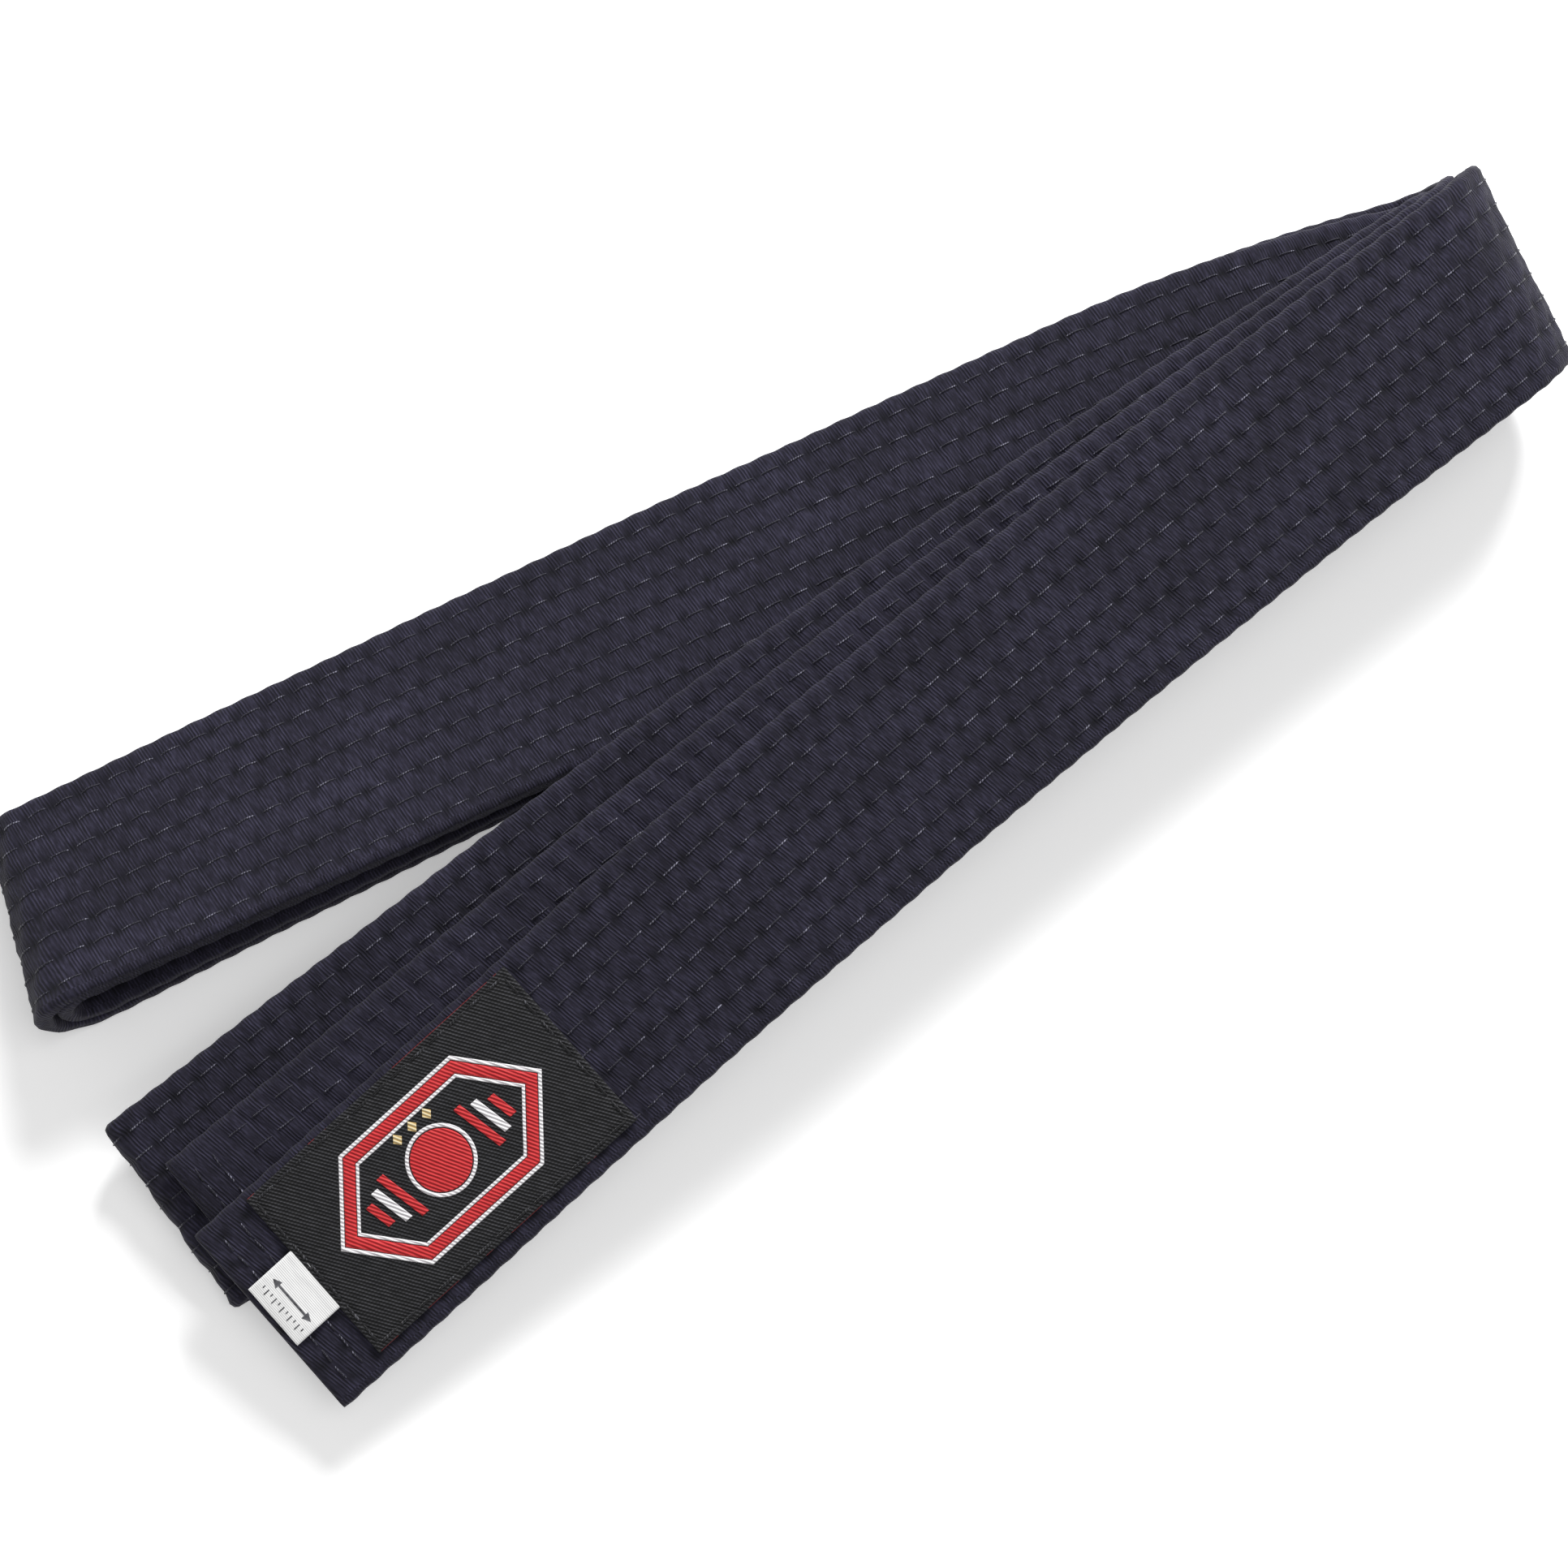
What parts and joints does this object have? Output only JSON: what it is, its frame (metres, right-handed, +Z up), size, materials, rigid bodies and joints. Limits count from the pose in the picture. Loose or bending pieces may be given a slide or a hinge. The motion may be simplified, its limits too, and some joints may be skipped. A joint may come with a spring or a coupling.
{
  "type": "martial arts belt",
  "caption": "Quilted cotton martial arts belt, folded into a fanned stack, with a woven label and a small size tag at one tip.",
  "frame": {"origin": "middle of the footprint, on the surface that the folded belt lies on", "axes": "+X along the stack towards the thick fold, +Y across it towards the rear bundle, +Z up"},
  "size_m": [0.307, 0.1238, 0.0352],
  "materials": {
    "twill": "very dark navy cotton twill, matt",
    "canvas": "undyed cotton canvas, hidden inside",
    "thread": "navy sewing thread with a soft sheen",
    "label_weave": "black damask weave with a red, white and gold emblem",
    "label_thread": "black polyester thread",
    "tag_satin": "white satin tape with a printed length mark"
  },
  "bodies": {
    "belt": {"cover": "twill", "core_ply_1": "canvas", "core_ply_2": "canvas", "needle_row_1": "thread", "needle_row_2": "thread", "needle_row_3": "thread", "needle_row_4": "thread", "needle_row_5": "thread", "needle_row_6": "thread", "needle_row_7": "thread", "needle_row_8": "thread", "bobbin_row_1": "thread", "bobbin_row_2": "thread", "bobbin_row_3": "thread", "bobbin_row_4": "thread", "bobbin_row_5": "thread", "bobbin_row_6": "thread", "bobbin_row_7": "thread", "bobbin_row_8": "thread", "label_tip_hem_needle_1": "thread", "label_tip_hem_needle_2": "thread", "label_tip_hem_bobbin_1": "thread", "label_tip_hem_bobbin_2": "thread", "plain_tip_hem_needle_1": "thread", "plain_tip_hem_needle_2": "thread", "plain_tip_hem_bobbin_1": "thread", "plain_tip_hem_bobbin_2": "thread", "woven_label": "label_weave", "label_stitch": "label_thread"},
    "tag": {"size_tag": "tag_satin"}
  },
  "joints": [
    {"name": "tag_flap", "type": "hinge", "parent": "belt", "child": "tag", "pos_m": [-0.13415, -0.04068, 0.01497], "axis": [-0.1612, 0.9739, 0.1599], "range_deg": [0, 120]}
  ]
}
